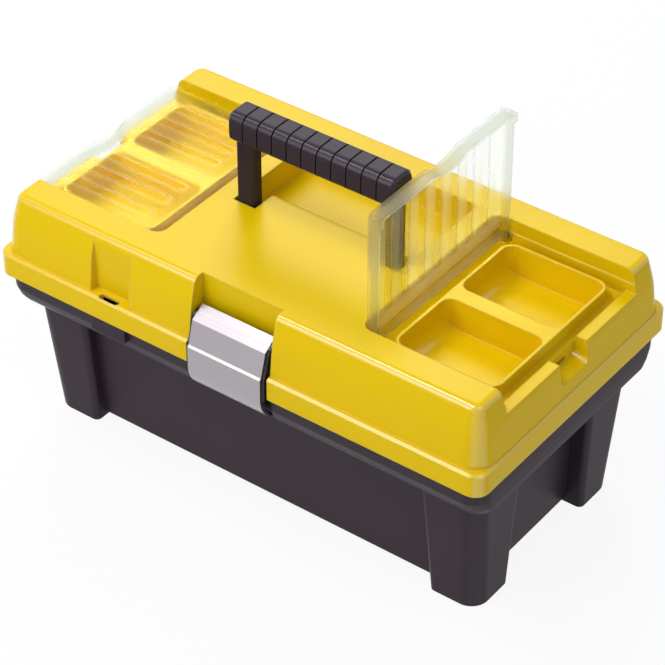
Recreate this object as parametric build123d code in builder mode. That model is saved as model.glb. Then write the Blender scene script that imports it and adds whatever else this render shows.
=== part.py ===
from build123d import *
import os

# Toolbox with a lift-out tray. Millimetres, +Z up, +X along the length, -Y to the front.
# Origin on the ground under the middle of the box.

# Overall
LENGTH = 415
DEPTH = 232
WALL = 2.5
PARTING_Z = 132
RIM_TOP = 131.6
OUTSIDE = 260
LAP = 1

# Tub: half sizes at the ground and under the rim, of the corner pillars and of the panels between them
RIM_BOTTOM = 106
FOOT_X = 189
FOOT_Y = 85.2
PILLAR_X = 194
PILLAR_Y = 96
PILLAR_CORNER = 14
PILLAR_ROUND = 4.5
PANEL_X0 = 174.5
PANEL_X1 = 178.5
PANEL_Y0 = 74.5
PANEL_Y1 = 85.2
FRONT_GAP0 = 149.3
FRONT_GAP1 = 146.4
END_GAP0 = 46.3
END_GAP1 = 43
FLOOR_LIFT = 3

# Tub rim: half sizes at each height of its rounded lip
RIM_LEVELS = [
    (RIM_BOTTOM, 203.5, 103.8),
    (111, 204, 107.3),
    (118, 204.2, 110.3),
    (RIM_TOP, 204, 112.2),
]
RIM_CORNER = 14
RIM_WALL = 2.8
LEDGE_Z = RIM_BOTTOM + WALL
RIM_INSIDE = [
    (LEDGE_Z, 200.7, 102.4),
    (118, 201.4, 107.4),
    (RIM_TOP + LAP, 201.2, 109.4),
]
LATCH_RELIEF_X = 33.8
LATCH_RELIEF_Y = 103.3

# Padlock slot, through the lid flange and the lug of the tub
LOCK_X = -106
LOCK_Y = -112
LOCK_LONG = 17
LOCK_WIDE = 5
LOCK_CORNER = 1.5
LUG_X = 30
LUG_Y0 = -106
LUG_Y1 = -115.6
LUG_BOTTOM = 120
INDENT_X = 34
INDENT_Y = -105.5

# Rear hinges
HINGE_X = 120
HINGE_Y = 115.2
HINGE_R = 4
HINGE_CLEAR = 0.6
HINGE_PIN_R = 1.5
HINGE_PIN_LONG = 32
LID_KNUCKLE = 12
TUB_KNUCKLE = 9
KNUCKLE_GAP = 0.5
KNUCKLE_STEP = (LID_KNUCKLE + TUB_KNUCKLE) / 2 + KNUCKLE_GAP
RUN_CLEAR = 0.06
TUB_STRAP = [(109.7, RIM_TOP), (109.7, 120), (118, 129.2), (115.2, RIM_TOP)]
LID_STRAP = [(113.5, PARTING_Z), (115.2, PARTING_Z), (118.4, 134.4), (115, 144), (113.5, 144)]

# Lid: flange band, and body drawn in by two drafts
FLANGE_TOP = 150
FLANGE_CORNER = 11
FLANGE_CHAMFER = 1.8
LID_TOP = 196
LID_MID = 175
LID_X = 205.4
LID_Y = 112.2
LID_CORNER = 16
INNER_CORNER = 9.5
LID_DRAFT = 6.4
LID_DRAFT_TOP = 14.6
LID_BEND = 45
LID_ROUND = 6

# Organisers at the two ends of the lid
RECESS_X = 85.5
RECESS_Y = 79.5
RECESS_CORNER = 8
GUTTER_X = 193
GUTTER_Y = 78.6
GUTTER_Z = 174
END_LIP_Z = 178
WELL_X0 = 105
WELL_X1 = 184.5
WELL_Y0 = 6.5
WELL_Y1 = 68
WELL_Z = 160
WELL_RIM_Z = 185
WELL_RIM = 2.2
WELL_CORNER = 8
WELL_SCOOP = 12
NOTCH_X = 192
NOTCH_Y = 33
NOTCH_Z = 160
NOTCH_SLOPE_Z = 163.6
NOTCH_ROUND = 5
CATCH_Y = 10
CATCH_Z0 = 163.8
CATCH_Z1 = 167.6

# Organiser covers, drawn closed on the right-hand side
COVER_AXIS_X = 96
COVER_AXIS_Z = 183
COVER_X0 = 99
COVER_X1 = 201
COVER_Y = 78
COVER_TOP = 189.4
COVER_T = 2
COVER_CORNER = 4
END_SKIRT_Z = 178.4
SIDE_SKIRT_Z = 181
SKIRT_STEP_X = 190
ARM_R = 5
COVER_PIN_R = 2
COVER_PIN_Y0 = 75
COVER_PIN_Y1 = 82.5
DIP_Y = 6
DIP_X = 4
DIP_RUN = 13
DIP_ROUND = 30
GROOVE_PITCH = 18.8
GROOVE_ROWS = 7
GROOVE_WIDE = 9
GROOVE_LONG = 75
GROOVE_DEEP = 0.9
GROOVE_CHAMFER = 2.2
GROOVE_X = 150

# Handle, drawn upright
HANDLE_X = 68.5
LEG_X = 15
LEG_Y = 12
LEG_EDGE = 2
PIVOT_Y = -10
PIVOT_Z = 188
BAR_Y = 12
BAR_Z0 = 253
BAR_Z1 = 267
GRIP_X = 69.5
GRIP_Y = 24
GRIP_MID_Y = -11
GRIP_Z0 = 248
GRIP_Z1 = 272
GRIP_ROUND = 7
GRIP_LOW_CHAMFER = 4.5
GRIP_CHAMFER = 2
GRIP_GROOVES = 10
GRIP_PITCH = 12.5
GRIP_GROOVE = 1.2
GRIP_GROOVE_DEEP = 1.6
GRIP_FLOOR_CHAMFER = 4
TRUNNION_R = 3.5
TRUNNION_END = 72.5
TRUNNION_PLAY = 0.2
SLOT_X0 = 51.5
SLOT_X1 = 70.5
SLOT_Y = -16.6
BAY_Y0 = 4
BAY_Y1 = 23
BAY_Y2 = 79
BAY_Z = 175
BAY_TOP_ROUND = 9
BAY_LOW_ROUND = 8

# Latch: side section of the bent plate and of the carrier behind it
LATCH_X = 31
CARRIER_X = 33
LATCH_PIVOT = (-105, 167)
LATCH_BAY_X = 34.5
LATCH_BAY_LOW = (-106, 156)
LATCH_BAY_HIGH = (-95.5, 162)
LATCH_PIN_X = 36.6
BARREL_R = 4.9
PLATE_OUTER = [
    (-106.5, 109.6),
    (-115.6, 118.6),
    (-119.2, 131),
    (-119.2, 148.4),
    (-117.7, 149.8),
    (-112.5, 168),
    (-101.5, 175),
]
PLATE_INNER = [
    (-100.3, 173.2),
    (-110.8, 166.5),
    (-117, 147.6),
    (-117, 131),
    (-113.6, 119.9),
    (-105.1, 111.4),
]
CARRIER_SIDE = [
    (-100.4, 173.1),
    (-110.8, 166.4),
    (-116.9, 147.5),
    (-116.9, 129.5),
    (-114.4, 129.5),
    (-112.4, 150),
    (-104, 161.5),
    (-100.4, 166),
]
PLATE_BEND = 1.5
PLATE_EDGE = 0.5

# Tray: half sizes of its flange and of its box at the bottom and at the top
TRAY_X = 186
TRAY_Y = 91
TRAY_CORNER = 12
TRAY_FLANGE = 2.5
TRAY_X0 = 172
TRAY_Y0 = 74
TRAY_X1 = 175.5
TRAY_Y1 = 80.5
TRAY_BOTTOM = 66
TRAY_WALL = 2
DIVIDER_TOP = 107
DIVIDER_GRIP_X = 55
DIVIDER_GRIP_Y = 12
DIVIDER_GRIP_Z0 = 112
DIVIDER_GRIP_Z1 = 120
DIVIDER_HOLE_X = 42
DIVIDER_HOLE_Z = 90
PARTITION_X = 60
PARTITION_TOP = 106


def rounded(z, half_x, half_y, corner, x=0, y=0):
    """Level rounded rectangle at a height."""
    with BuildSketch(Plane.XY.offset(z)) as outline:
        with Locations((x, y)):
            RectangleRounded(2 * half_x, 2 * half_y, corner)
    return outline.sketch


def cut_corners(z, half_x, half_y, corner, x=0, y=0):
    """Level rectangle at a height, with its corners cut off at 45 degrees."""
    with BuildSketch(Plane.XY.offset(z)) as outline:
        with Locations((x, y)):
            Rectangle(2 * half_x, 2 * half_y)
        chamfer(outline.vertices(), corner)
    return outline.sketch


def level_box(z, x0, x1, y0, y1):
    """Level rectangle at a height, given by its four sides."""
    with BuildSketch(Plane.XY.offset(z)) as outline:
        with Locations(((x0 + x1) / 2, (y0 + y1) / 2)):
            Rectangle(abs(x1 - x0), abs(y1 - y0))
    return outline.sketch


def side_section(points, x=0):
    """Polygon drawn in depth and height, facing +X."""
    with BuildSketch(Plane.YZ.offset(x)) as outline:
        with BuildLine():
            Polyline(*points, close=True)
        make_face()
    return outline.sketch


def end_section(points, y=0):
    """Polygon drawn in length and height, facing -Y."""
    with BuildSketch(Plane.XZ.offset(-y)) as outline:
        with BuildLine():
            Polyline(*points, close=True)
        make_face()
    return outline.sketch


def rod(radius, x0, x1, y, z):
    """Round bar along X between two ends, in either order."""
    with BuildPart() as bar:
        with BuildSketch(Plane.YZ.offset(min(x0, x1))):
            with Locations((y, z)):
                Circle(radius)
        extrude(amount=abs(x1 - x0))
    return bar.part


def leaning_block(z0, low, z1, high):
    """Block with flat leaning sides; low and high give x from, x to, y from, y to at the two levels."""
    with BuildPart() as block:
        extrude(
            end_section([(low[0], z0), (low[1], z0), (high[1], z1), (high[0], z1)], y=OUTSIDE),
            amount=2 * OUTSIDE,
        )
        extrude(
            side_section([(low[2], z0), (low[3], z0), (high[3], z1), (high[2], z1)], x=-OUTSIDE),
            amount=2 * OUTSIDE,
            mode=Mode.INTERSECT,
        )
    return block.part


def upright_edges(part):
    """Edges of a part that rise through most of the tub's height."""
    return [e for e in part.edges() if abs((e @ 1 - e @ 0).Z) > RIM_BOTTOM / 2]


def level_edges(part, z):
    """Edges of a part that lie at one height."""
    flat = [e for e in part.edges() if abs((e @ 1 - e @ 0).Z) < LAP / 10]
    return [e for e in flat if abs(e.center().Z - z) < LAP / 10]


def on_pillar(point):
    """Whether a point lies on the outer face of a pillar rather than on a panel."""
    return abs(point.X) > (PANEL_X1 + FOOT_X) / 2 or abs(point.Y) > PANEL_Y1


def tub_form(inset, edge_round):
    """Tub below its rim, drawn in by a wall: leaning corner pillars with panels set back between them."""
    z0 = inset
    z1 = RIM_BOTTOM + inset
    foot = (FOOT_X - inset, FOOT_Y - inset)
    pillar = (PILLAR_X - inset, PILLAR_Y - inset)
    gap0 = (FRONT_GAP0 + inset, END_GAP0 + inset)
    gap1 = (FRONT_GAP1 + inset, END_GAP1 + inset)
    with BuildPart() as form:
        add(
            leaning_block(
                z0,
                (-foot[0], foot[0], -foot[1], foot[1]),
                z1,
                (-pillar[0], pillar[0], -pillar[1], pillar[1]),
            )
        )
        fillet(upright_edges(form), PILLAR_CORNER - inset)
        for side in (-1, 1):
            panel0 = sorted((side * (PANEL_Y0 - inset), side * OUTSIDE))
            panel1 = sorted((side * (PANEL_Y1 - inset), side * OUTSIDE))
            add(
                leaning_block(z0, (-gap0[0], gap0[0], *panel0), z1, (-gap1[0], gap1[0], *panel1)),
                mode=Mode.SUBTRACT,
            )
            panel0 = sorted((side * (PANEL_X0 - inset), side * OUTSIDE))
            panel1 = sorted((side * (PANEL_X1 - inset), side * OUTSIDE))
            add(
                leaning_block(z0, (*panel0, -gap0[1], gap0[1]), z1, (*panel1, -gap1[1], gap1[1])),
                mode=Mode.SUBTRACT,
            )
        if edge_round:
            outer = [e for e in upright_edges(form) if e.geom_type == GeomType.LINE]
            fillet([e for e in outer if on_pillar(e.center())], edge_round)
        extrude(level_box(z0, -gap0[0], gap0[0], -OUTSIDE, OUTSIDE), amount=FLOOR_LIFT, mode=Mode.SUBTRACT)
        extrude(level_box(z0, -OUTSIDE, OUTSIDE, -gap0[1], gap0[1]), amount=FLOOR_LIFT, mode=Mode.SUBTRACT)
    return form.part


def padlock_slot(z0, z1):
    """Upright slot that a padlock shackle passes through."""
    with BuildPart() as slot:
        outline = cut_corners(z0, LOCK_LONG / 2, LOCK_WIDE / 2, LOCK_CORNER, x=LOCK_X, y=LOCK_Y)
        extrude(outline, amount=z1 - z0)
    return slot.part


def knuckle(x, long, strap, bore):
    """Hinge barrel about a middle, with the strap that joins it to its wall."""
    with BuildPart() as barrel:
        with BuildSketch(Plane.YZ.offset(x - long / 2)):
            with Locations((HINGE_Y, PARTING_Z)):
                Circle(HINGE_R)
            with BuildLine():
                Polyline(*strap, close=True)
            make_face()
            with Locations((HINGE_Y, PARTING_Z)):
                Circle(bore, mode=Mode.SUBTRACT)
        extrude(amount=long)
    return barrel.part


def knuckle_pocket(x, long):
    """Square room that a hinge barrel turns in, open to the rear."""
    reach = long / 2 + KNUCKLE_GAP
    room = HINGE_R + HINGE_CLEAR
    with BuildPart() as pocket:
        extrude(level_box(PARTING_Z - room, x - reach, x + reach, HINGE_Y - room, OUTSIDE), amount=2 * room)
    return pocket.part


def lid_body(outline, z0, z1):
    """Lid above its flange, drawn up from an outline between two levels in two drafts."""
    with BuildPart() as body:
        extrude(outline, amount=LID_MID - z0, taper=LID_DRAFT)
        extrude(body.faces().sort_by(Axis.Z)[-1], amount=z1 - LID_MID, taper=LID_DRAFT_TOP)
    return body.part


def handle_bay(grow):
    """Bay in the top of the lid that the handle folds into, grown by a wall."""
    with BuildPart() as bay:
        extrude(
            side_section(
                [
                    (BAY_Y0 - grow, LID_TOP),
                    (BAY_Y1 - 2 * grow, BAY_Z - grow),
                    (BAY_Y2 + grow, BAY_Z - grow),
                    (BAY_Y2 + grow, LID_TOP),
                ],
                x=-SLOT_X1 - grow,
            ),
            amount=2 * (SLOT_X1 + grow),
        )
        for side in (-1, 1):
            extrude(
                level_box(
                    BAY_Z - grow,
                    side * (SLOT_X0 - grow),
                    side * (SLOT_X1 + grow),
                    SLOT_Y - grow,
                    BAY_Y2 + grow,
                ),
                amount=LID_TOP - BAY_Z + grow,
            )
    return bay.part


def latch_bay(grow):
    """Bay in the front of the lid that the latch lies in, grown by a wall."""
    low_y, low_z = LATCH_BAY_LOW
    high_y, high_z = LATCH_BAY_HIGH
    with BuildPart() as bay:
        extrude(
            side_section(
                [
                    (-OUTSIDE, PARTING_Z - grow),
                    (low_y + grow, PARTING_Z - grow),
                    (low_y + grow, low_z - grow),
                    (high_y + grow, high_z - grow),
                    (high_y + grow, LID_TOP),
                    (-OUTSIDE, LID_TOP),
                ],
                x=-LATCH_BAY_X - grow,
            ),
            amount=2 * (LATCH_BAY_X + grow),
        )
    return bay.part


def well_pocket(side, row):
    """Organiser well, with its inner end rising in a scoop."""
    well_x = side * (WELL_X0 + WELL_X1) / 2
    with BuildSketch(Plane.XZ) as front_view:
        with Locations((well_x, (WELL_Z + LID_TOP) / 2)):
            Rectangle(WELL_X1 - WELL_X0, LID_TOP - WELL_Z)
        fillet(sorted(front_view.vertices(), key=lambda v: (round(v.Y), abs(v.X)))[0], WELL_SCOOP)
    with BuildPart() as pocket:
        extrude(
            rounded(
                WELL_Z,
                (WELL_X1 - WELL_X0) / 2,
                (WELL_Y1 - WELL_Y0) / 2,
                WELL_CORNER,
                x=well_x,
                y=row * (WELL_Y0 + WELL_Y1) / 2,
            ),
            amount=LID_TOP - WELL_Z,
        )
        extrude(front_view.sketch, amount=OUTSIDE, both=True, mode=Mode.INTERSECT)
    return pocket.part


def thumb_notch(side):
    """Notch in the end of the lid under the cover's edge, with a sloping floor and round lower corners."""
    fall = (NOTCH_SLOPE_Z - NOTCH_Z) / (LID_X - NOTCH_X)
    with BuildPart() as notch:
        extrude(
            end_section(
                [
                    (side * NOTCH_X, NOTCH_SLOPE_Z),
                    (side * OUTSIDE, NOTCH_Z - fall * (OUTSIDE - LID_X)),
                    (side * OUTSIDE, LID_TOP),
                    (side * NOTCH_X, LID_TOP),
                ],
                y=NOTCH_Y / 2,
            ),
            amount=NOTCH_Y,
        )
        runs = [(e, e @ 1 - e @ 0) for e in notch.edges()]
        fillet([e for e, run in runs if abs(run.X) > LAP and abs(run.Z) > LAP], NOTCH_ROUND)
    return notch.part


# Tub
with BuildPart() as tub_outside:
    add(tub_form(0, PILLAR_ROUND))

with BuildPart() as rim_cavity:
    (z0, x0, y0), (z1, x1, y1), (z2, x2, y2) = RIM_INSIDE
    loft(
        [
            rounded(z0, x0, y0, RIM_CORNER - RIM_WALL),
            rounded(z1, x1, y1, RIM_CORNER - RIM_WALL),
            rounded(z2, x2, y2, RIM_CORNER - RIM_WALL),
        ],
        ruled=True,
    )
    extrude(
        level_box(
            LEDGE_Z,
            -LATCH_RELIEF_X - WALL,
            LATCH_RELIEF_X + WALL,
            -LATCH_RELIEF_Y + WALL,
            -OUTSIDE,
        ),
        amount=OUTSIDE,
        mode=Mode.SUBTRACT,
    )

with BuildPart() as base_tub:
    add(tub_outside.part)
    loft([rounded(z, x, y, RIM_CORNER) for z, x, y in RIM_LEVELS], ruled=True)
    extrude(
        level_box(RIM_BOTTOM - WALL, -LATCH_RELIEF_X, LATCH_RELIEF_X, -LATCH_RELIEF_Y, -OUTSIDE),
        amount=OUTSIDE,
        mode=Mode.SUBTRACT,
    )
    add(tub_form(WALL, 0), mode=Mode.SUBTRACT)
    add(rim_cavity.part, mode=Mode.SUBTRACT)
    extrude(
        level_box(LUG_BOTTOM, LOCK_X - LUG_X / 2, LOCK_X + LUG_X / 2, LUG_Y0, LUG_Y1),
        amount=RIM_TOP - LUG_BOTTOM,
    )
    add(padlock_slot(LEDGE_Z, PARTING_Z), mode=Mode.SUBTRACT)
    for side in (-1, 1):
        add(knuckle_pocket(side * HINGE_X, LID_KNUCKLE), mode=Mode.SUBTRACT)
        for end in (-1, 1):
            add(knuckle(side * HINGE_X + end * KNUCKLE_STEP, TUB_KNUCKLE, TUB_STRAP, HINGE_PIN_R))

# Lid
with BuildPart() as lid_cavity:
    inside = cut_corners(FLANGE_TOP - WALL, LID_X - WALL, LID_Y - WALL, INNER_CORNER)
    extrude(inside, amount=PARTING_Z - LAP - FLANGE_TOP + WALL)
    add(lid_body(inside, FLANGE_TOP - WALL, LID_TOP - WALL))
    for side in (-1, 1):
        extrude(
            level_box(
                GUTTER_Z - WALL,
                side * (RECESS_X - WALL),
                side * OUTSIDE,
                -RECESS_Y - WALL,
                RECESS_Y + WALL,
            ),
            amount=OUTSIDE,
            mode=Mode.SUBTRACT,
        )
        extrude(
            level_box(
                WELL_Z - WALL,
                side * (WELL_X0 - WALL),
                side * (WELL_X1 + WALL),
                -WELL_Y1 - WALL,
                WELL_Y1 + WALL,
            ),
            amount=OUTSIDE,
            mode=Mode.SUBTRACT,
        )
        extrude(
            level_box(
                NOTCH_Z - WALL,
                side * (NOTCH_X - WALL),
                side * OUTSIDE,
                -NOTCH_Y / 2 - WALL,
                NOTCH_Y / 2 + WALL,
            ),
            amount=OUTSIDE,
            mode=Mode.SUBTRACT,
        )
    add(handle_bay(WALL), mode=Mode.SUBTRACT)
    add(latch_bay(WALL), mode=Mode.SUBTRACT)
    extrude(
        level_box(
            FLANGE_TOP - WALL,
            LOCK_X - INDENT_X / 2 - WALL,
            LOCK_X + INDENT_X / 2 + WALL,
            INDENT_Y + WALL,
            -OUTSIDE,
        ),
        amount=OUTSIDE,
        mode=Mode.SUBTRACT,
    )

with BuildPart() as lid_outside:
    add(lid_body(rounded(FLANGE_TOP - LAP, LID_X, LID_Y, LID_CORNER), FLANGE_TOP - LAP, LID_TOP))
    fillet([e for e in lid_outside.edges() if abs(e.center().Z - LID_MID) < LAP / 10], LID_BEND)
    fillet(lid_outside.faces().sort_by(Axis.Z)[-1].edges(), LID_ROUND)

with BuildPart() as lid_shell:
    extrude(rounded(PARTING_Z, LENGTH / 2, DEPTH / 2, FLANGE_CORNER), amount=FLANGE_TOP - PARTING_Z)
    chamfer(lid_shell.faces().sort_by(Axis.Z)[-1].edges(), FLANGE_CHAMFER)
    add(lid_outside.part)
    for side in (-1, 1):
        with BuildSketch(Plane.XY.offset(GUTTER_Z)):
            with Locations((side * (GUTTER_X + RECESS_X) / 2, 0)):
                Rectangle(GUTTER_X - RECESS_X, 2 * GUTTER_Y)
            with Locations((side * (WELL_X0 + WELL_X1) / 2, 0)):
                RectangleRounded(
                    WELL_X1 - WELL_X0 + 2 * WELL_RIM,
                    2 * (WELL_Y1 + WELL_RIM),
                    WELL_CORNER + WELL_RIM,
                    mode=Mode.SUBTRACT,
                )
        extrude(amount=WELL_RIM_Z - GUTTER_Z, mode=Mode.SUBTRACT)
        extrude(
            rounded(
                WELL_RIM_Z,
                (OUTSIDE - RECESS_X) / 2,
                RECESS_Y,
                RECESS_CORNER,
                x=side * (OUTSIDE + RECESS_X) / 2,
            ),
            amount=OUTSIDE,
            mode=Mode.SUBTRACT,
        )
        extrude(
            level_box(END_LIP_Z, side * (GUTTER_X - WELL_RIM), side * OUTSIDE, -GUTTER_Y, GUTTER_Y),
            amount=OUTSIDE,
            mode=Mode.SUBTRACT,
        )
        for row in (-1, 1):
            add(well_pocket(side, row), mode=Mode.SUBTRACT)
        add(thumb_notch(side), mode=Mode.SUBTRACT)
    add(handle_bay(0), mode=Mode.SUBTRACT)
    add(latch_bay(0), mode=Mode.SUBTRACT)
    extrude(
        level_box(FLANGE_TOP, LOCK_X - INDENT_X / 2, LOCK_X + INDENT_X / 2, INDENT_Y, -OUTSIDE),
        amount=OUTSIDE,
        mode=Mode.SUBTRACT,
    )
    fillet([e for e in level_edges(lid_shell, LID_TOP) if abs(e.center().Y - BAY_Y0) < LAP], BAY_TOP_ROUND)
    fillet([e for e in level_edges(lid_shell, BAY_Z) if abs(e.center().Y - BAY_Y1) < LAP], BAY_LOW_ROUND)
    add(lid_cavity.part, mode=Mode.SUBTRACT)
    add(padlock_slot(PARTING_Z - WALL, FLANGE_TOP + WALL), mode=Mode.SUBTRACT)
    for side in (-1, 1):
        extrude(
            level_box(
                CATCH_Z0,
                side * (NOTCH_X - 2 * WALL),
                side * (NOTCH_X + LAP),
                -CATCH_Y / 2,
                CATCH_Y / 2,
            ),
            amount=CATCH_Z1 - CATCH_Z0,
            mode=Mode.SUBTRACT,
        )
        add(
            rod(
                TRUNNION_R + RUN_CLEAR,
                side * SLOT_X1,
                side * (TRUNNION_END + TRUNNION_PLAY),
                PIVOT_Y,
                PIVOT_Z,
            ),
            mode=Mode.SUBTRACT,
        )
        for end in (-1, 1):
            add(knuckle_pocket(side * HINGE_X + end * KNUCKLE_STEP, TUB_KNUCKLE), mode=Mode.SUBTRACT)
        bore = HINGE_PIN_R + RUN_CLEAR
        knuckle_x = side * HINGE_X
        add(knuckle(knuckle_x, LID_KNUCKLE, LID_STRAP, bore))
        add(
            rod(bore, knuckle_x - LID_KNUCKLE / 2, knuckle_x + LID_KNUCKLE / 2, HINGE_Y, PARTING_Z),
            mode=Mode.SUBTRACT,
        )
        with BuildSketch(Plane.XZ):
            with Locations((side * COVER_AXIS_X, COVER_AXIS_Z)):
                Circle(COVER_PIN_R)
        extrude(amount=COVER_PIN_Y1, both=True, mode=Mode.SUBTRACT)
    add(rod(HINGE_PIN_R, -LATCH_PIN_X, LATCH_PIN_X, *LATCH_PIVOT), mode=Mode.SUBTRACT)

# Organiser cover, closed, right-hand side
with BuildSketch(Plane.XY.offset(END_SKIRT_Z)) as cover_outline:
    with Locations(((COVER_X0 + COVER_X1) / 2, 0)):
        RectangleRounded(COVER_X1 - COVER_X0, 2 * COVER_Y, COVER_CORNER)
    with BuildLine():
        Polyline(
            (COVER_X1, -DIP_Y - DIP_RUN),
            (COVER_X1 - DIP_X, -DIP_Y),
            (COVER_X1 - DIP_X, DIP_Y),
            (COVER_X1, DIP_Y + DIP_RUN),
            close=True,
        )
    make_face(mode=Mode.SUBTRACT)
    fillet([v for v in cover_outline.vertices() if abs(v.Y) < DIP_Y + DIP_RUN + LAP], DIP_ROUND)

with BuildSketch(Plane.XY.offset(END_SKIRT_Z)) as cover_inside:
    add(cover_outline.sketch)
    offset(amount=-COVER_T, mode=Mode.REPLACE)

with BuildPart() as cover:
    extrude(cover_outline.sketch, amount=COVER_TOP - END_SKIRT_Z)
    extrude(cover_inside.sketch, amount=COVER_TOP - COVER_T - END_SKIRT_Z, mode=Mode.SUBTRACT)
    extrude(
        end_section(
            [
                (COVER_X0 - LAP, END_SKIRT_Z),
                (SKIRT_STEP_X + SIDE_SKIRT_Z - END_SKIRT_Z, END_SKIRT_Z),
                (SKIRT_STEP_X, SIDE_SKIRT_Z),
                (COVER_X0 - LAP, SIDE_SKIRT_Z),
            ],
            y=OUTSIDE,
        ),
        amount=2 * OUTSIDE,
        mode=Mode.SUBTRACT,
    )
    for row in (-1, 1):
        with BuildSketch(Plane.XZ.offset(-max(row * COVER_Y, row * (COVER_Y - COVER_T)))):
            with BuildLine():
                Polyline(
                    (COVER_AXIS_X - ARM_R / 2, COVER_AXIS_Z + ARM_R),
                    (COVER_X0 + COVER_CORNER, COVER_AXIS_Z + ARM_R),
                    (COVER_X0 + COVER_CORNER, SIDE_SKIRT_Z),
                    (COVER_AXIS_X + ARM_R, SIDE_SKIRT_Z),
                    (COVER_AXIS_X + ARM_R / 2, COVER_AXIS_Z - ARM_R),
                    (COVER_AXIS_X - ARM_R / 2, COVER_AXIS_Z - ARM_R),
                    (COVER_AXIS_X - ARM_R, COVER_AXIS_Z - ARM_R / 2),
                    (COVER_AXIS_X - ARM_R, COVER_AXIS_Z + ARM_R / 2),
                    close=True,
                )
            make_face()
            with Locations((COVER_AXIS_X, COVER_AXIS_Z)):
                Circle(COVER_PIN_R + RUN_CLEAR, mode=Mode.SUBTRACT)
        extrude(amount=COVER_T)
    with BuildSketch(Plane.XY.offset(COVER_TOP - GROOVE_DEEP)) as grooves:
        with Locations((GROOVE_X, 0)):
            with GridLocations(GROOVE_LONG, GROOVE_PITCH, 1, GROOVE_ROWS):
                Rectangle(GROOVE_LONG, GROOVE_WIDE)
        chamfer(grooves.vertices(), GROOVE_CHAMFER)
    extrude(amount=GROOVE_DEEP, mode=Mode.SUBTRACT)

# Steel pins that the covers turn on, fixed in the ridges of the lid
with BuildPart() as cover_pins:
    for start in (-COVER_PIN_Y1, COVER_PIN_Y0):
        with BuildSketch(Plane.XZ.offset(-start)):
            with Locations((-COVER_AXIS_X, COVER_AXIS_Z), (COVER_AXIS_X, COVER_AXIS_Z)):
                Circle(COVER_PIN_R)
        extrude(amount=COVER_PIN_Y0 - COVER_PIN_Y1)

# Handle
with BuildPart() as handle_bow:
    for side in (-1, 1):
        leg_x = side * (HANDLE_X - LEG_X / 2)
        leg = cut_corners(PIVOT_Z, LEG_X / 2, LEG_Y / 2, LEG_EDGE, x=leg_x, y=PIVOT_Y)
        extrude(leg, amount=BAR_Z1 - PIVOT_Z)
        add(rod(LEG_Y / 2, leg_x - LEG_X / 2, leg_x + LEG_X / 2, PIVOT_Y, PIVOT_Z))
    extrude(
        level_box(BAR_Z0, -HANDLE_X + LEG_X, HANDLE_X - LEG_X, PIVOT_Y - BAR_Y / 2, PIVOT_Y + BAR_Y / 2),
        amount=BAR_Z1 - BAR_Z0,
    )
    for side in (-1, 1):
        add(rod(TRUNNION_R, side * (HANDLE_X - LAP), side * TRUNNION_END, PIVOT_Y, PIVOT_Z))

with BuildSketch() as grip_outline:
    with Locations((GRIP_MID_Y, (GRIP_Z0 + GRIP_Z1) / 2)):
        Rectangle(GRIP_Y, GRIP_Z1 - GRIP_Z0)
    fillet(grip_outline.vertices().group_by(Axis.Y)[-1], GRIP_ROUND)
    chamfer(grip_outline.vertices().group_by(Axis.Y)[0], GRIP_LOW_CHAMFER)

with BuildSketch() as groove_floor:
    with Locations((GRIP_MID_Y, (GRIP_Z0 + GRIP_Z1) / 2)):
        Rectangle(GRIP_Y - 2 * GRIP_GROOVE_DEEP, GRIP_Z1 - GRIP_Z0 - 2 * GRIP_GROOVE_DEEP)
    chamfer(groove_floor.vertices(), GRIP_FLOOR_CHAMFER)

with BuildSketch(Plane.YZ) as groove_ring:
    with Locations((GRIP_MID_Y, (GRIP_Z0 + GRIP_Z1) / 2)):
        Rectangle(2 * GRIP_Y, 2 * (GRIP_Z1 - GRIP_Z0))
    add(groove_floor.sketch, mode=Mode.SUBTRACT)

with BuildPart() as handle_grip:
    with BuildSketch(Plane.YZ.offset(-GRIP_X)):
        add(grip_outline.sketch)
    extrude(amount=2 * GRIP_X)
    chamfer(handle_grip.faces().filter_by(Axis.X).edges(), GRIP_CHAMFER)
    ring = extrude(groove_ring.sketch, amount=GRIP_GROOVE / 2, both=True, mode=Mode.PRIVATE)
    with GridLocations(GRIP_PITCH, GRIP_PITCH, GRIP_GROOVES, 1):
        add(ring, mode=Mode.SUBTRACT)
    add(handle_bow.part, mode=Mode.SUBTRACT)

# Latch
with BuildPart() as latch_plate:
    with BuildSketch(Plane.YZ.offset(-LATCH_X)):
        with BuildLine():
            ThreePointArc(*PLATE_OUTER[:3])
            Polyline(*PLATE_OUTER[2:])
            Polyline(PLATE_OUTER[-1], *PLATE_INNER[:4])
            ThreePointArc(*PLATE_INNER[3:])
            Line(PLATE_INNER[-1], PLATE_OUTER[0])
        make_face()
    extrude(amount=2 * LATCH_X)
    along = latch_plate.edges().filter_by(Axis.X)
    fillet([e for e in along if (Vector(0, *PLATE_OUTER[5]) - e.center()).length < LAP / 10], PLATE_BEND)
    along = latch_plate.edges().filter_by(Axis.X)
    foremost = [e for e in along if e.center().Y < PLATE_OUTER[3][0] + PLATE_EDGE]
    fillet([e for e in foremost if e.center().Z > PLATE_OUTER[2][1] + LAP], PLATE_EDGE)

with BuildPart() as latch_carrier:
    extrude(side_section(CARRIER_SIDE, x=-CARRIER_X), amount=2 * CARRIER_X)
    add(rod(BARREL_R, -CARRIER_X, CARRIER_X, *LATCH_PIVOT))
    add(latch_plate.part, mode=Mode.SUBTRACT)
    add(rod(HINGE_PIN_R + RUN_CLEAR, -CARRIER_X, CARRIER_X, *LATCH_PIVOT), mode=Mode.SUBTRACT)

with BuildPart() as latch_pin:
    add(rod(HINGE_PIN_R, -LATCH_PIN_X, LATCH_PIN_X, *LATCH_PIVOT))

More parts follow.
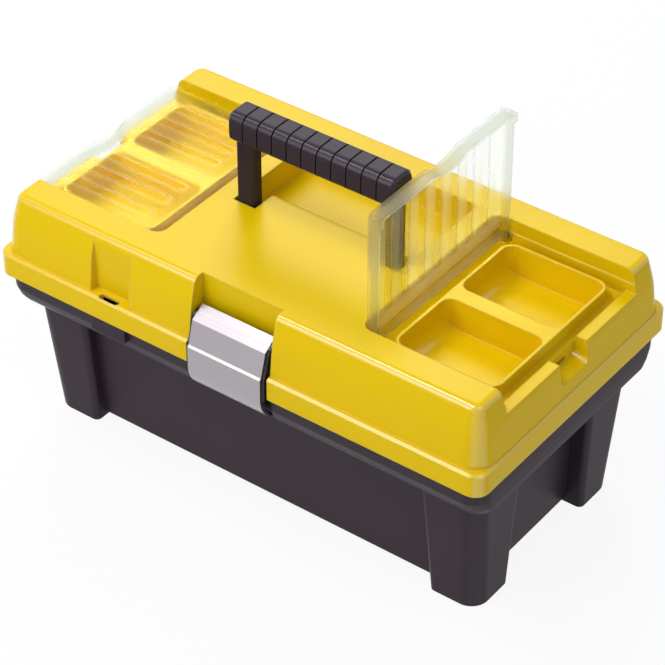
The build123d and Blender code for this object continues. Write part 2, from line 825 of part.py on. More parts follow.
# Tray, with a divider that it is lifted by and three partitions pressed in beside the divider
with BuildPart() as tray_room:
    inner_corner = TRAY_CORNER - TRAY_WALL
    loft(
        [
            rounded(TRAY_BOTTOM + TRAY_WALL, TRAY_X0 - TRAY_WALL, TRAY_Y0 - TRAY_WALL, inner_corner),
            rounded(LEDGE_Z + TRAY_FLANGE, TRAY_X1 - TRAY_WALL, TRAY_Y1 - TRAY_WALL, inner_corner),
        ],
        ruled=True,
    )

with BuildPart() as tray:
    extrude(rounded(LEDGE_Z, TRAY_X, TRAY_Y, TRAY_CORNER), amount=TRAY_FLANGE)
    loft(
        [
            rounded(TRAY_BOTTOM, TRAY_X0, TRAY_Y0, TRAY_CORNER),
            rounded(LEDGE_Z, TRAY_X1, TRAY_Y1, TRAY_CORNER),
        ],
        ruled=True,
    )
    add(tray_room.part, mode=Mode.SUBTRACT)

with BuildPart() as tray_divider:
    extrude(
        level_box(TRAY_BOTTOM, -TRAY_X, TRAY_X, -TRAY_WALL, TRAY_WALL),
        amount=DIVIDER_TOP - TRAY_BOTTOM,
    )
    add(tray_room.part, mode=Mode.INTERSECT)
    extrude(
        level_box(DIVIDER_TOP - LAP, -DIVIDER_GRIP_X, DIVIDER_GRIP_X, -TRAY_WALL, TRAY_WALL),
        amount=DIVIDER_GRIP_Z0 - DIVIDER_TOP + 2 * LAP,
    )
    extrude(
        level_box(DIVIDER_HOLE_Z, -DIVIDER_HOLE_X, DIVIDER_HOLE_X, -TRAY_WALL, TRAY_WALL),
        amount=DIVIDER_GRIP_Z0 - DIVIDER_HOLE_Z + LAP,
        mode=Mode.SUBTRACT,
    )
    extrude(
        rounded(DIVIDER_GRIP_Z0, DIVIDER_GRIP_X, DIVIDER_GRIP_Y / 2, DIVIDER_GRIP_Y / 3),
        amount=DIVIDER_GRIP_Z1 - DIVIDER_GRIP_Z0,
    )

with BuildPart() as tray_partitions:
    for x, row in ((-PARTITION_X, 1), (PARTITION_X, 1), (PARTITION_X, -1)):
        extrude(
            level_box(
                TRAY_BOTTOM,
                x - TRAY_WALL / 2,
                x + TRAY_WALL / 2,
                row * TRAY_WALL,
                row * TRAY_Y,
            ),
            amount=PARTITION_TOP - TRAY_BOTTOM,
        )
    add(tray_room.part, mode=Mode.INTERSECT)

# Hinge pins
with BuildPart() as hinge_pin:
    add(rod(HINGE_PIN_R, -HINGE_PIN_LONG / 2, HINGE_PIN_LONG / 2, HINGE_Y, PARTING_Z))

os.makedirs("parts", exist_ok=True)
open_axis = Axis((COVER_AXIS_X, 0, COVER_AXIS_Z), (0, -1, 0))
pieces = {
    "base_tub": base_tub.part,
    "lid_shell": lid_shell.part,
    "organiser_cover_left": mirror(cover.part, about=Plane.YZ),
    "organiser_cover_right": cover.part.rotate(open_axis, 90),
    "cover_pins": cover_pins.part,
    "handle_bow": handle_bow.part,
    "handle_grip": handle_grip.part,
    "latch_plate": latch_plate.part,
    "latch_carrier": latch_carrier.part,
    "latch_pin": latch_pin.part,
    "tray": tray.part,
    "tray_divider": tray_divider.part,
    "tray_partitions": tray_partitions.part,
    "hinge_pin_left": Pos(-HINGE_X, 0, 0) * hinge_pin.part,
    "hinge_pin_right": Pos(HINGE_X, 0, 0) * hinge_pin.part,
}
for name, solid in pieces.items():
    solid.label = name
    export_step(solid, f"parts/{name}.step")
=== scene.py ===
"""Looks for a moulded toolbox with clear organiser covers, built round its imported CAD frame."""

import math

import bpy
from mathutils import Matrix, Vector

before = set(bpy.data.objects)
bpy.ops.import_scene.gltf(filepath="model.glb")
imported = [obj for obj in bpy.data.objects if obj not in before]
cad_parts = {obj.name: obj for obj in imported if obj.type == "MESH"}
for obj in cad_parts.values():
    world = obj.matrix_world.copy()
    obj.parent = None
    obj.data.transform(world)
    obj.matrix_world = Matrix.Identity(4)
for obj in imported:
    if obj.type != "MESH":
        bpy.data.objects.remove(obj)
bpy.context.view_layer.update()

bl_info = {
    "name": "Moulded toolbox looks",
    "version": (1, 0, 0),
    "blender": (4, 5, 0),
    "location": "3D View > Sidebar > Toolbox",
    "description": "Finishes, lamps and camera for a moulded toolbox with a lift-out tray",
    "category": "Object",
}

VALUE = "NodeSocketFloat"
VECTOR = "NodeSocketVector"

# Where a mask starts and is full: turn of the normal at a sharp edge, steepness of a rounding
SHARP_EDGE = (0.99, 0.80)
ROUNDED_EDGE = (0.95, 0.86)

# Depths of the fine relief, in metres
GRAIN_DEPTH = 0.00004
LINE_DEPTH = 0.00002
COVER_DEPTH = 0.0001

# Covers: rows of grooves, hinge line of the right-hand one (X and Z), roughness and gloss
GROOVES_IN_COVER = 7.0
COVER_HINGE = (0.096, 0.183)
FROSTED = 0.68
POLISHED = 0.04
PLATE_GLOSS = 0.06

# Where a zone of a cover starts and is full, in metres from its border
BORDER_ZONE = (0.0, -0.003)
GROOVE_ZONE = (-0.0002, 0.0004)
OUTLINE_ZONE = (0.0007, 0.0002)
SKIRT_ZONE = (0.0024, 0.003)

# Top of the latch plate: the latch's pivot (Y and Z), slope, distance from the pivot, half the width
LATCH_PIVOT = (-0.105, 0.167)
LATCH_SLOPE = math.radians(32.5)
LATCH_HEIGHT = 0.0048
LATCH_HALF_WIDTH = 0.0311

# Size and position of each lamp, in metres
OVERHEAD_LAMP = ((1.3, 0.2), (-0.35, -0.5, 1.5))
REAR_LAMP = ((1.0, 1.0), (-1.0, 1.35, 1.5))
FRONT_LAMP = ((1.0, 1.0), (-0.6, -1.5, 1.1))
SIDE_LAMP = ((1.0, 1.0), (1.3, -0.3, 1.7))

# Floor and camera
FLOOR_SIZE = 12.0
FLOOR_DROP = 0.0004
FLOOR_GREY = 0.9
SENSOR_WIDTH = 36.0
WHITE = (1.0, 1.0, 1.0, 1.0)


def colour(name, description, default):
    """Property for a colour that a user may change."""
    return bpy.props.FloatVectorProperty(
        name=name, description=description, subtype="COLOR", min=0.0, max=1.0, default=default
    )


def length(name, description, default):
    """Property for a size in metres."""
    return bpy.props.FloatProperty(name=name, description=description, unit="LENGTH", default=default)


def angle(name, description, degrees):
    """Property for an angle, given in degrees."""
    return bpy.props.FloatProperty(
        name=name, description=description, unit="ROTATION", default=math.radians(degrees)
    )


def power(name, description, default):
    """Property for the power of a lamp in watts."""
    return bpy.props.FloatProperty(name=name, description=description, unit="POWER", default=default)


def share(name, description, default):
    """Property for a part of a whole."""
    return bpy.props.FloatProperty(
        name=name, description=description, subtype="FACTOR", min=0.0, max=1.0, default=default
    )


class ToolboxFinish(bpy.types.PropertyGroup):
    """Colours and surface sizes of the toolbox's pieces."""

    lid_yellow: colour("Lid yellow", "Colour of the moulded lid", (0.76, 0.520, 0.002))
    tub_charcoal: colour("Tub charcoal", "Colour of the tub and the tray", (0.040, 0.028, 0.038))
    handle_charcoal: colour("Handle charcoal", "Colour of handle and grip", (0.032, 0.022, 0.033))
    cover_milk: colour("Cover milk", "Colour of the cloudy clear covers", (0.86, 0.93, 0.82))
    cover_skirt: colour("Cover skirt", "Colour of the covers' skirts", (0.72, 0.75, 0.68))
    # Painted shade: the grey that the covers are darkened to along their sharp edges.
    cover_edge_shade: colour("Cover edge", "Colour of the covers along their sharp edges", (0.35, 0.36, 0.30))
    plate_aluminium: colour("Latch aluminium", "Colour of the latch plate", (0.42, 0.39, 0.41))
    pin_steel: colour("Pin steel", "Colour of the hinge and latch pins", (0.45, 0.45, 0.44))
    carrier_black: colour("Carrier black", "Colour of the latch's carrier", (0.012, 0.011, 0.012))
    grain_pitch: length("Grain pitch", "Spacing of the spark-eroded grain in the mould", 0.0007)
    edge_radius: length("Edge radius", "Small rounding that a moulded edge has", 0.0008)
    lid_edge_radius: length("Lid edge radius", "Rounding of the lid's edges", 0.0016)
    metal_edge_radius: length("Metal edge radius", "Rounding of the metal's edges", 0.00048)
    carrier_edge_radius: length("Carrier edge radius", "Rounding of the carrier's edges", 0.00004)
    groove_pitch: length("Groove pitch", "Spacing of the grooves in a cover", 0.0188)
    groove_width: length("Groove width", "Width of a groove in a cover", 0.009)
    groove_length: length("Groove length", "Length of a groove in a cover", 0.075)
    groove_middle: length("Groove middle", "Middle of the grooves along the box", 0.150)
    cover_top: length("Cover top", "Height of the top of a closed cover", 0.1894)
    groove_cloud: share("Groove cloud", "Opacity of each face of a cover in its grooves", 0.20)
    plate_cloud: share("Plate cloud", "Opacity of each face of a cover between its grooves", 0.42)
    border_cloud: share("Border cloud", "Opacity of each face of a cover round its grooves", 0.48)
    skirt_cloud: share("Skirt cloud", "Opacity of each face of a cover's skirts", 0.72)
    cover_light: share("Cover light", "How much of the lamps' light a cover lets through", 0.75)


class ToolboxStage(bpy.types.PropertyGroup):
    """Camera and lamps."""

    azimuth: angle("Azimuth", "How far the camera stands to the right of the front", 36.69)
    elevation: angle("Elevation", "How far the camera looks down", 38.33)
    distance: length("Distance", "From the camera to the point that it looks at", 2.0073)
    lens: bpy.props.FloatProperty(
        name="Lens",
        description="Focal length on a sensor 36 mm wide, in millimetres",
        default=152.86,
    )
    aim: bpy.props.FloatVectorProperty(
        name="Aim",
        description="Point that the camera looks at",
        subtype="TRANSLATION",
        default=(0.0021, 0.0015, 0.100),
    )
    key_watts: power("Overhead lamp", "Power of the large lamp above the box", 10.5)
    sheen_watts: power("Rear lamp", "Power of the lamp behind that the top mirrors", 21.0)
    fill_watts: power("Front lamp", "Power of the soft lamp at the front left", 10.5)
    side_watts: power("Side lamp", "Power of the soft lamp at the right", 5.5)
    room_light: bpy.props.FloatProperty(
        name="Room light", description="Strength of the even light from all round", default=0.29
    )
    floor_glow: share("Floor glow", "How much of the floor that is seen is plain white", 0.9)


def place(tree, kind, **values):
    """A node of a tree, with its attributes and unlinked inputs set."""
    node = tree.nodes.new(kind)
    for key, value in values.items():
        if hasattr(node, key):
            setattr(node, key, value)
        else:
            node.inputs[key.replace("_", " ")].default_value = value
    return node


def plug(tree, socket, term):
    """Sets an input to a number, or links another node's output to it."""
    if isinstance(term, (int, float)):
        socket.default_value = term
    else:
        tree.links.new(term, socket)


def calc(tree, operation, *terms):
    """Output of a Math node; each term is a number or another node's output."""
    node = place(tree, "ShaderNodeMath", operation=operation)
    for socket, term in zip(node.inputs, terms):
        plug(tree, socket, term)
    return node.outputs[0]


def fade(tree, value, start, end):
    """Value that goes from 0 to 1 as another goes between two levels."""
    node = place(tree, "ShaderNodeMapRange")
    for label, term in (("Value", value), ("From Min", start), ("From Max", end)):
        plug(tree, node.inputs[label], term)
    return node.outputs["Result"]


def between(tree, factor, first, second):
    """Value that goes from a first to a second with a factor."""
    node = place(tree, "ShaderNodeMix", data_type="FLOAT")
    for label, term in (("Factor", factor), ("A", first), ("B", second)):
        plug(tree, node.inputs[label], term)
    return node.outputs["Result"]


def start_group(name, inputs, outputs):
    """Empty shader node group with named sockets; returns it, its inputs and its outputs node."""
    group = bpy.data.node_groups.new(name, "ShaderNodeTree")
    for label, value in inputs.items():
        kind = VECTOR if isinstance(value, tuple) else VALUE
        group.interface.new_socket(label, in_out="INPUT", socket_type=kind).default_value = value
    for label, kind in outputs.items():
        group.interface.new_socket(label, in_out="OUTPUT", socket_type=kind)
    return group, group.nodes.new("NodeGroupInput").outputs, group.nodes.new("NodeGroupOutput")


def moulded_grain_group():
    """Spark-eroded mould grain, with a slow drift of tone and gloss from the flow of the plastic."""
    group, given, made = start_group(
        "moulded_grain",
        {"Pitch": 0.0007, "Drift": 0.05},
        {"Height": VALUE, "Tone": VALUE, "Rough": VALUE},
    )
    link = group.links.new
    where = place(group, "ShaderNodeTexCoord").outputs["Object"]
    fine = place(group, "ShaderNodeTexNoise", Detail=2.0, Roughness=0.6)
    link(where, fine.inputs["Vector"])
    link(calc(group, "DIVIDE", 1.0, given["Pitch"]), fine.inputs["Scale"])
    link(fine.outputs["Fac"], made.inputs["Height"])
    slow = place(group, "ShaderNodeTexNoise", Scale=14.0, Detail=3.0)
    link(where, slow.inputs["Vector"])
    uneven = calc(group, "SUBTRACT", slow.outputs["Fac"], 0.5)
    drift = calc(group, "MULTIPLY", uneven, given["Drift"])
    link(calc(group, "ADD", drift, 1.0), made.inputs["Tone"])
    link(drift, made.inputs["Rough"])
    return group


def rounded_edge_group():
    """Normal that turns over a small radius at a sharp edge, with masks of sharp and rounded edges."""
    group, given, made = start_group(
        "rounded_edge", {"Radius": 0.0007}, {"Normal": VECTOR, "Edge": VALUE, "Round": VALUE}
    )
    link = group.links.new
    bevel = place(group, "ShaderNodeBevel", samples=6)
    link(given["Radius"], bevel.inputs["Radius"])
    link(bevel.outputs["Normal"], made.inputs["Normal"])
    geometry = place(group, "ShaderNodeNewGeometry")
    facing = place(group, "ShaderNodeVectorMath", operation="DOT_PRODUCT")
    link(bevel.outputs["Normal"], facing.inputs[0])
    link(geometry.outputs["Normal"], facing.inputs[1])
    link(fade(group, facing.outputs["Value"], *SHARP_EDGE), made.inputs["Edge"])
    slope = place(group, "ShaderNodeVectorMath", operation="ABSOLUTE")
    link(place(group, "ShaderNodeTexCoord").outputs["Normal"], slope.inputs[0])
    parts = place(group, "ShaderNodeSeparateXYZ")
    link(slope.outputs["Vector"], parts.inputs[0])
    x, y, z = parts.outputs
    steepest = calc(group, "MAXIMUM", calc(group, "MAXIMUM", x, y), z)
    link(fade(group, steepest, *ROUNDED_EDGE), made.inputs["Round"])
    return group


def drawn_lines_group():
    """Long fine lines along X, as a drawn or extruded metal section has."""
    group, given, made = start_group(
        "drawn_lines",
        {"Pitch": 0.0004, "Streak": 0.3},
        {"Height": VALUE, "Tone": VALUE, "Rough": VALUE},
    )
    link = group.links.new
    where = place(group, "ShaderNodeTexCoord").outputs["Object"]
    stretch = place(group, "ShaderNodeMapping", Scale=(0.01, 1.0, 1.0))
    link(where, stretch.inputs["Vector"])
    lines = place(group, "ShaderNodeTexNoise", Detail=3.0)
    link(stretch.outputs["Vector"], lines.inputs["Vector"])
    link(calc(group, "DIVIDE", 1.0, given["Pitch"]), lines.inputs["Scale"])
    link(lines.outputs["Fac"], made.inputs["Height"])
    uneven = calc(group, "SUBTRACT", lines.outputs["Fac"], 0.5)
    streak = calc(group, "MULTIPLY", uneven, given["Streak"])
    link(calc(group, "ADD", streak, 1.0), made.inputs["Tone"])
    link(streak, made.inputs["Rough"])
    return group


def cover_zones_group():
    """Opacity of a cover: clear in the grooves, cloudy between them, cloudiest on the skirts."""
    group, given, made = start_group(
        "cover_zones",
        {
            "Place": (0.0, 0.0, 0.0),
            "Pitch": 0.0188,
            "Width": 0.009,
            "Length": 0.075,
            "Middle": 0.15,
            "Top": 0.1894,
            "Groove": 0.05,
            "Plate": 0.2,
            "Border": 0.3,
            "Skirt": 0.5,
        },
        {"Opacity": VALUE, "Clear": VALUE, "Skirt": VALUE, "Gloss": VALUE},
    )
    link = group.links.new
    spot = place(group, "ShaderNodeSeparateXYZ")
    link(given["Place"], spot.inputs[0])
    x, y, z = spot.outputs
    half_pitch = calc(group, "MULTIPLY", given["Pitch"], 0.5)
    off_row = calc(group, "WRAP", y, half_pitch, calc(group, "MULTIPLY", half_pitch, -1.0))
    half_width = calc(group, "MULTIPLY", given["Width"], 0.5)
    across = calc(group, "SUBTRACT", half_width, calc(group, "ABSOLUTE", off_row))
    off_middle = calc(group, "ABSOLUTE", calc(group, "SUBTRACT", x, given["Middle"]))
    along = calc(group, "SUBTRACT", calc(group, "MULTIPLY", given["Length"], 0.5), off_middle)
    half_rows = calc(group, "MULTIPLY", half_pitch, GROOVES_IN_COVER)
    rows = calc(group, "SUBTRACT", half_rows, calc(group, "ABSOLUTE", y))
    field = calc(group, "MINIMUM", along, rows)
    inside = calc(group, "MINIMUM", field, across)
    flat = between(group, fade(group, field, *BORDER_ZONE), given["Plate"], given["Border"])
    clear = fade(group, inside, *GROOVE_ZONE)
    flat = between(group, clear, flat, given["Groove"])
    skirt = fade(group, calc(group, "SUBTRACT", given["Top"], z), *SKIRT_ZONE)
    link(between(group, skirt, flat, given["Skirt"]), made.inputs["Opacity"])
    link(clear, made.inputs["Clear"])
    link(skirt, made.inputs["Skirt"])
    line = fade(group, calc(group, "ABSOLUTE", inside), *OUTLINE_ZONE)
    gloss = calc(group, "MULTIPLY_ADD", clear, -PLATE_GLOSS, PLATE_GLOSS)
    link(calc(group, "MAXIMUM", gloss, line), made.inputs["Gloss"])
    return group


def shared(name, builder):
    """A shader node group, built the first time that a material asks for it."""
    return bpy.data.node_groups.get(name) or builder()


def new_material(name, **settings):
    """Material with a Principled BSDF whose plain values are set on its own sockets."""
    material = bpy.data.materials.new(name)
    material.use_nodes = True
    shader = material.node_tree.nodes["Principled BSDF"]
    for label, value in settings.items():
        shader.inputs[label.replace("_", " ")].default_value = value
    return material, material.node_tree, shader


def add_group(tree, name, builder, **values):
    """A shared node group placed in a material with its own values; returns its outputs."""
    node = tree.nodes.new("ShaderNodeGroup")
    node.node_tree = shared(name, builder)
    for label, value in values.items():
        plug(tree, node.inputs[label], value)
    return node.outputs


def mixed(tree, kind, factor, first, second):
    """Mix of two colours; each is a colour or another node's output."""
    mix = place(tree, "ShaderNodeMix", data_type="RGBA", blend_type=kind)
    plug(tree, mix.inputs[0], factor)
    for socket, term in ((mix.inputs["A"], first), (mix.inputs["B"], second)):
        if isinstance(term, bpy.types.NodeSocket):
            tree.links.new(term, socket)
        else:
            socket.default_value = (*term, 1.0)
    return mix.outputs["Result"]


def paler(tint, part):
    """A colour part of the way to white."""
    return [level + (1.0 - level) * part for level in tint]


def relief(tree, height, normal, strength, depth, shader):
    """Fine relief on top of the rounded edges."""
    bump = place(tree, "ShaderNodeBump", Strength=strength, Distance=depth)
    tree.links.new(height, bump.inputs["Height"])
    tree.links.new(normal, bump.inputs["Normal"])
    tree.links.new(bump.outputs["Normal"], shader.inputs["Normal"])


def moulded_plastic(
    name, tint, finish, radius, roughness, grain_strength, drift, edge_wear_and_highlight, polish, **settings
):
    """Injection-moulded plastic: grained, uneven in tone, with sharp edges paler as wear and as a
    painted highlight, and polished roundings.
    """
    material, tree, shader = new_material(name, Coat_Roughness=0.2, **settings)
    link = tree.links.new
    grain = add_group(tree, "moulded_grain", moulded_grain_group, Pitch=finish.grain_pitch, Drift=drift)
    edge = add_group(tree, "rounded_edge", rounded_edge_group, Radius=radius)
    even = mixed(tree, "MULTIPLY", 1.0, tint, grain["Tone"])
    # Sharp edges are mixed towards a paler tint: partly edge wear, partly a painted highlight.
    worn_and_highlit_edges = calc(tree, "MULTIPLY", edge["Edge"], edge_wear_and_highlight)
    link(mixed(tree, "MIX", worn_and_highlit_edges, even, paler(tint, 0.5)), shader.inputs["Base Color"])
    link(calc(tree, "ADD", grain["Rough"], roughness), shader.inputs["Roughness"])
    link(calc(tree, "MULTIPLY", edge["Round"], polish), shader.inputs["Coat Weight"])
    relief(tree, grain["Height"], edge["Normal"], grain_strength, GRAIN_DEPTH, shader)
    return material


def drawn_metal(name, tint, finish, roughness, streak):
    """Drawn or extruded metal with fine lines along its length and a painted highlight along its sharp
    edges.
    """
    material, tree, shader = new_material(name, Metallic=1.0)
    link = tree.links.new
    lines = add_group(tree, "drawn_lines", drawn_lines_group, Streak=streak)
    edge = add_group(tree, "rounded_edge", rounded_edge_group, Radius=finish.metal_edge_radius)
    even = mixed(tree, "MULTIPLY", 1.0, tint, lines["Tone"])
    # Painted highlight: sharp edges are mixed towards a paler tint.
    link(mixed(tree, "MIX", edge["Edge"], even, paler(tint, 0.4)), shader.inputs["Base Color"])
    link(calc(tree, "ADD", lines["Rough"], roughness), shader.inputs["Roughness"])
    relief(tree, lines["Height"], edge["Normal"], 0.08, LINE_DEPTH, shader)
    return material


def metal_on_top(material, tint):
    """Gives the strip of the carrier that stands through the plate's sloped top the plate's metal."""
    tree = material.node_tree
    shader = tree.nodes["Principled BSDF"]
    spot = place(tree, "ShaderNodeSeparateXYZ")
    tree.links.new(place(tree, "ShaderNodeTexCoord").outputs["Object"], spot.inputs[0])
    x, y, z = spot.outputs
    pivot_y, pivot_z = LATCH_PIVOT
    over = calc(tree, "MULTIPLY", calc(tree, "SUBTRACT", z, pivot_z), math.cos(LATCH_SLOPE))
    forward = calc(tree, "SUBTRACT", pivot_y, y)
    over = calc(tree, "MULTIPLY_ADD", forward, math.sin(LATCH_SLOPE), over)
    above = calc(tree, "GREATER_THAN", over, LATCH_HEIGHT)
    between_ends = calc(tree, "LESS_THAN", calc(tree, "ABSOLUTE", x), LATCH_HALF_WIDTH)
    on_plate = calc(tree, "MULTIPLY", above, between_ends)
    plain = shader.inputs["Base Color"].links[0].from_socket
    tree.links.new(mixed(tree, "MIX", on_plate, plain, tint), shader.inputs["Base Color"])
    tree.links.new(on_plate, shader.inputs["Metallic"])


def cloudy_clear(name, finish, **to_closed):
    """Cloudy clear plastic, zoned by where a point lies in the closed right-hand cover."""
    material, tree, shader = new_material(
        name, Transmission_Weight=1.0, Metallic=0.0, IOR=1.11, Coat_Roughness=0.2
    )
    link = tree.links.new
    turn = place(tree, "ShaderNodeMapping", **to_closed)
    link(place(tree, "ShaderNodeTexCoord").outputs["Object"], turn.inputs["Vector"])
    zones = add_group(
        tree,
        "cover_zones",
        cover_zones_group,
        Place=turn.outputs["Vector"],
        Pitch=finish.groove_pitch,
        Width=finish.groove_width,
        Length=finish.groove_length,
        Middle=finish.groove_middle,
        Top=finish.cover_top,
        Groove=finish.groove_cloud,
        Plate=finish.plate_cloud,
        Border=finish.border_cloud,
        Skirt=finish.skirt_cloud,
    )
    grain = add_group(tree, "moulded_grain", moulded_grain_group, Pitch=0.004, Drift=0.12)
    edge = add_group(tree, "rounded_edge", rounded_edge_group, Radius=finish.edge_radius)
    milk = mixed(tree, "MIX", zones["Skirt"], finish.cover_milk, finish.cover_skirt)
    milk = mixed(tree, "MULTIPLY", 1.0, milk, grain["Tone"])
    # Painted shade: sharp edges are mixed towards a darker grey.
    link(mixed(tree, "MIX", edge["Edge"], milk, finish.cover_edge_shade), shader.inputs["Base Color"])
    shadow = place(tree, "ShaderNodeLightPath").outputs["Is Shadow Ray"]
    let_through = calc(tree, "MULTIPLY_ADD", shadow, -finish.cover_light, 1.0)
    link(calc(tree, "MULTIPLY", zones["Opacity"], let_through), shader.inputs["Alpha"])
    link(zones["Gloss"], shader.inputs["Coat Weight"])
    frosted = calc(tree, "ADD", grain["Rough"], FROSTED)
    link(between(tree, zones["Clear"], frosted, POLISHED), shader.inputs["Roughness"])
    relief(tree, grain["Height"], edge["Normal"], 0.008, COVER_DEPTH, shader)
    return material


def dress(nodes, material):
    """Gives CAD nodes a material in place of the one they came with."""
    for name in nodes:
        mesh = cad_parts[name].data
        mesh.materials.clear()
        mesh.materials.append(material)


class ToolboxOperator:
    """What each of the toolbox's operators shares."""

    bl_options = {"REGISTER", "UNDO"}


class TOOLBOX_OT_lid(ToolboxOperator, bpy.types.Operator):
    """Finish the moulded lid"""

    bl_idname = "toolbox.lid"
    bl_label = "Lid"

    def execute(self, context):
        finish = context.scene.toolbox_finish
        yellow = moulded_plastic(
            "lid_yellow",
            finish.lid_yellow,
            finish,
            finish.lid_edge_radius,
            roughness=0.30,
            grain_strength=0.10,
            drift=0.05,
            edge_wear_and_highlight=0.2,
            polish=1.0,
            Specular_IOR_Level=0.08,
            Coat_IOR=1.7,
        )
        dress(["lid_shell"], yellow)
        return {"FINISHED"}


class TOOLBOX_OT_tub(ToolboxOperator, bpy.types.Operator):
    """Finish the tub and the tray in it"""

    bl_idname = "toolbox.tub"
    bl_label = "Tub and tray"

    def execute(self, context):
        finish = context.scene.toolbox_finish
        charcoal = moulded_plastic(
            "tub_charcoal",
            finish.tub_charcoal,
            finish,
            finish.edge_radius,
            roughness=0.46,
            grain_strength=0.2,
            drift=0.10,
            edge_wear_and_highlight=0.08,
            polish=0.15,
            Specular_IOR_Level=0.10,
        )
        dress(["base_tub", "tray", "tray_divider", "tray_partitions"], charcoal)
        return {"FINISHED"}


class TOOLBOX_OT_covers(ToolboxOperator, bpy.types.Operator):
    """Finish the clear organiser covers"""

    bl_idname = "toolbox.covers"
    bl_label = "Organiser covers"

    def execute(self, context):
        finish = context.scene.toolbox_finish
        shut = cloudy_clear("cover_clear_left", finish, Scale=(-1.0, 1.0, 1.0))
        dress(["organiser_cover_left"], shut)
        hinge_x, hinge_z = COVER_HINGE
        raised = cloudy_clear(
            "cover_clear_right",
            finish,
            Location=(hinge_x - hinge_z, 0.0, hinge_z + hinge_x),
            Rotation=(0.0, math.radians(90.0), 0.0),
        )
        dress(["organiser_cover_right"], raised)
        return {"FINISHED"}


class TOOLBOX_OT_handle(ToolboxOperator, bpy.types.Operator):
    """Finish the folding handle"""

    bl_idname = "toolbox.handle"
    bl_label = "Handle"

    def execute(self, context):
        finish = context.scene.toolbox_finish
        charcoal = moulded_plastic(
            "handle_charcoal",
            finish.handle_charcoal,
            finish,
            finish.edge_radius,
            roughness=0.38,
            grain_strength=0.12,
            drift=0.08,
            edge_wear_and_highlight=0.08,
            polish=0.35,
            Specular_IOR_Level=0.08,
        )
        dress(["handle_bow", "handle_grip"], charcoal)
        return {"FINISHED"}


class TOOLBOX_OT_latch(ToolboxOperator, bpy.types.Operator):
    """Finish the latch plate and its carrier"""

    bl_idname = "toolbox.latch"
    bl_label = "Latch"

    def execute(self, context):
        finish = context.scene.toolbox_finish
        aluminium = drawn_metal(
            "latch_aluminium", finish.plate_aluminium, finish, roughness=0.32, streak=0.2
        )
        dress(["latch_plate"], aluminium)
        black = moulded_plastic(
            "carrier_black",
            finish.carrier_black,
            finish,
            finish.carrier_edge_radius,
            roughness=0.34,
            grain_strength=0.1,
            drift=0.05,
            edge_wear_and_highlight=0.05,
            polish=0.2,
        )
        metal_on_top(black, finish.plate_aluminium)
        dress(["latch_carrier"], black)
        return {"FINISHED"}


class TOOLBOX_OT_pins(ToolboxOperator, bpy.types.Operator):
    """Finish the steel pins"""

    bl_idname = "toolbox.pins"
    bl_label = "Pins"

    def execute(self, context):
        finish = context.scene.toolbox_finish
        steel = drawn_metal("pin_steel", finish.pin_steel, finish, roughness=0.28, streak=0.2)
        dress(["latch_pin", "cover_pins", "hinge_pin_left", "hinge_pin_right"], steel)
        return {"FINISHED"}


def soft_lamp(name, watts, size, position, aim):
    """Rectangular area lamp turned to a point."""
    data = bpy.data.lights.new(name, "AREA")
    data.shape = "RECTANGLE"
    data.energy = watts
    data.size, data.size_y = size
    lamp = bpy.data.objects.new(name, data)
    lamp.location = position
    lamp.rotation_euler = (Vector(aim) - Vector(position)).to_track_quat("-Z", "Y").to_euler()
    bpy.context.scene.collection.objects.link(lamp)


def seen_directly(tree):
    """1 for rays from the camera, in reflections and through glass, 0 for light on the box."""
    rays = place(tree, "ShaderNodeLightPath").outputs
    mirrored = calc(tree, "MAXIMUM", rays["Is Glossy Ray"], rays["Is Transmission Ray"])
    looking = calc(tree, "MAXIMUM", rays["Is Camera Ray"], mirrored)
    return calc(tree, "MULTIPLY", looking, calc(tree, "LESS_THAN", rays["Diffuse Depth"], 0.5))


def mixed_shader(tree, factor, first, second, output):
    """Mix of two shaders, given to an output node."""
    mix = place(tree, "ShaderNodeMixShader")
    for socket, term in zip(mix.inputs, (factor, first.outputs[0], second.outputs[0])):
        tree.links.new(term, socket)
    tree.links.new(mix.outputs[0], output.inputs["Surface"])


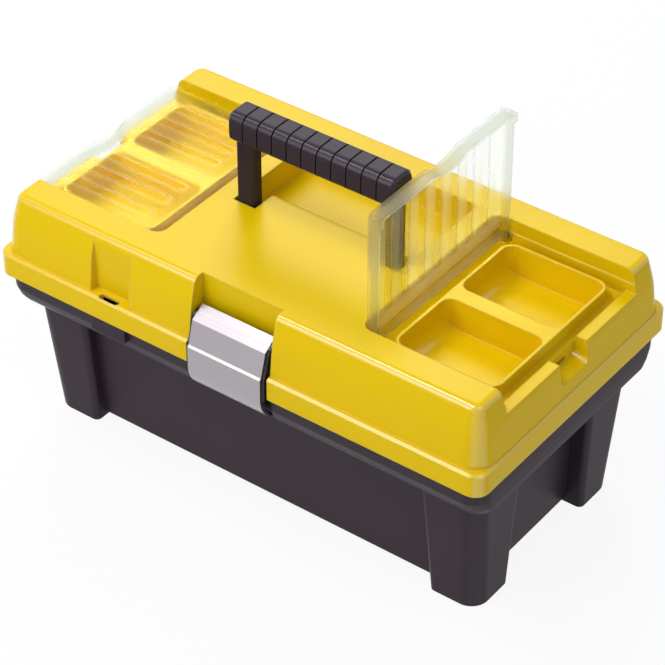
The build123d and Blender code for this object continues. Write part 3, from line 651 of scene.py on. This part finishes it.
class TOOLBOX_OT_stage(ToolboxOperator, bpy.types.Operator):
    """Set the floor, the lamps and the camera"""

    bl_idname = "toolbox.stage"
    bl_label = "Stage"

    def execute(self, context):
        scene = context.scene
        stage = scene.toolbox_stage
        scene.view_settings.view_transform = "Standard"
        self.add_floor(stage.floor_glow)
        self.set_world(scene, stage.room_light)
        soft_lamp("overhead_lamp", stage.key_watts, *OVERHEAD_LAMP, stage.aim)
        soft_lamp("rear_lamp", stage.sheen_watts, *REAR_LAMP, stage.aim)
        soft_lamp("front_lamp", stage.fill_watts, *FRONT_LAMP, stage.aim)
        soft_lamp("side_lamp", stage.side_watts, *SIDE_LAMP, stage.aim)
        self.add_camera(scene, stage)
        return {"FINISHED"}

    def add_floor(self, glow):
        bpy.ops.mesh.primitive_plane_add(size=FLOOR_SIZE, location=(0.0, 0.0, -FLOOR_DROP))
        floor = bpy.context.object
        floor.name = "floor"
        pale = (FLOOR_GREY, FLOOR_GREY, FLOOR_GREY, 1.0)
        material, tree, shader = new_material("floor_white", Roughness=0.9, Base_Color=pale)
        white = place(tree, "ShaderNodeEmission", Strength=1.0)
        part = calc(tree, "MULTIPLY", seen_directly(tree), glow)
        mixed_shader(tree, part, shader, white, tree.nodes["Material Output"])
        floor.data.materials.append(material)

    def set_world(self, scene, strength):
        world = bpy.data.worlds.new("white_room")
        scene.world = world
        world.use_nodes = True
        tree = world.node_tree
        even = tree.nodes["Background"]
        even.inputs["Color"].default_value = WHITE
        even.inputs["Strength"].default_value = strength
        white = place(tree, "ShaderNodeBackground", Color=WHITE, Strength=1.0)
        mixed_shader(tree, seen_directly(tree), even, white, tree.nodes["World Output"])

    def add_camera(self, scene, stage):
        data = bpy.data.cameras.new("camera")
        data.sensor_width = SENSOR_WIDTH
        data.lens = stage.lens
        camera = bpy.data.objects.new("camera", data)
        flat = math.cos(stage.elevation)
        away = Vector(
            (
                math.sin(stage.azimuth) * flat,
                -math.cos(stage.azimuth) * flat,
                math.sin(stage.elevation),
            )
        )
        camera.location = Vector(stage.aim) + stage.distance * away
        camera.rotation_euler = (-away).to_track_quat("-Z", "Y").to_euler()
        scene.collection.objects.link(camera)
        scene.camera = camera


OPERATORS = (
    TOOLBOX_OT_lid,
    TOOLBOX_OT_tub,
    TOOLBOX_OT_covers,
    TOOLBOX_OT_handle,
    TOOLBOX_OT_latch,
    TOOLBOX_OT_pins,
    TOOLBOX_OT_stage,
)


class TOOLBOX_PT_sidebar(bpy.types.Panel):
    """Lists the toolbox's operators and their settings"""

    bl_idname = "TOOLBOX_PT_sidebar"
    bl_label = "Toolbox"
    bl_space_type = "VIEW_3D"
    bl_region_type = "UI"
    bl_category = "Toolbox"

    def draw(self, context):
        column = self.layout.column()
        for group in (context.scene.toolbox_finish, context.scene.toolbox_stage):
            for name in group.bl_rna.properties.keys():
                if name not in ("rna_type", "name"):
                    column.prop(group, name)
        for operator in OPERATORS:
            column.operator(operator.bl_idname)


CLASSES = (ToolboxFinish, ToolboxStage, *OPERATORS, TOOLBOX_PT_sidebar)


def register():
    for cls in CLASSES:
        bpy.utils.register_class(cls)
    bpy.types.Scene.toolbox_finish = bpy.props.PointerProperty(type=ToolboxFinish)
    bpy.types.Scene.toolbox_stage = bpy.props.PointerProperty(type=ToolboxStage)


def unregister():
    del bpy.types.Scene.toolbox_stage
    del bpy.types.Scene.toolbox_finish
    for cls in reversed(CLASSES):
        bpy.utils.unregister_class(cls)


def main():
    register()
    bpy.ops.toolbox.lid()
    bpy.ops.toolbox.tub()
    bpy.ops.toolbox.covers()
    bpy.ops.toolbox.handle()
    bpy.ops.toolbox.latch()
    bpy.ops.toolbox.pins()
    bpy.ops.toolbox.stage()


if __name__ == "__main__":
    main()
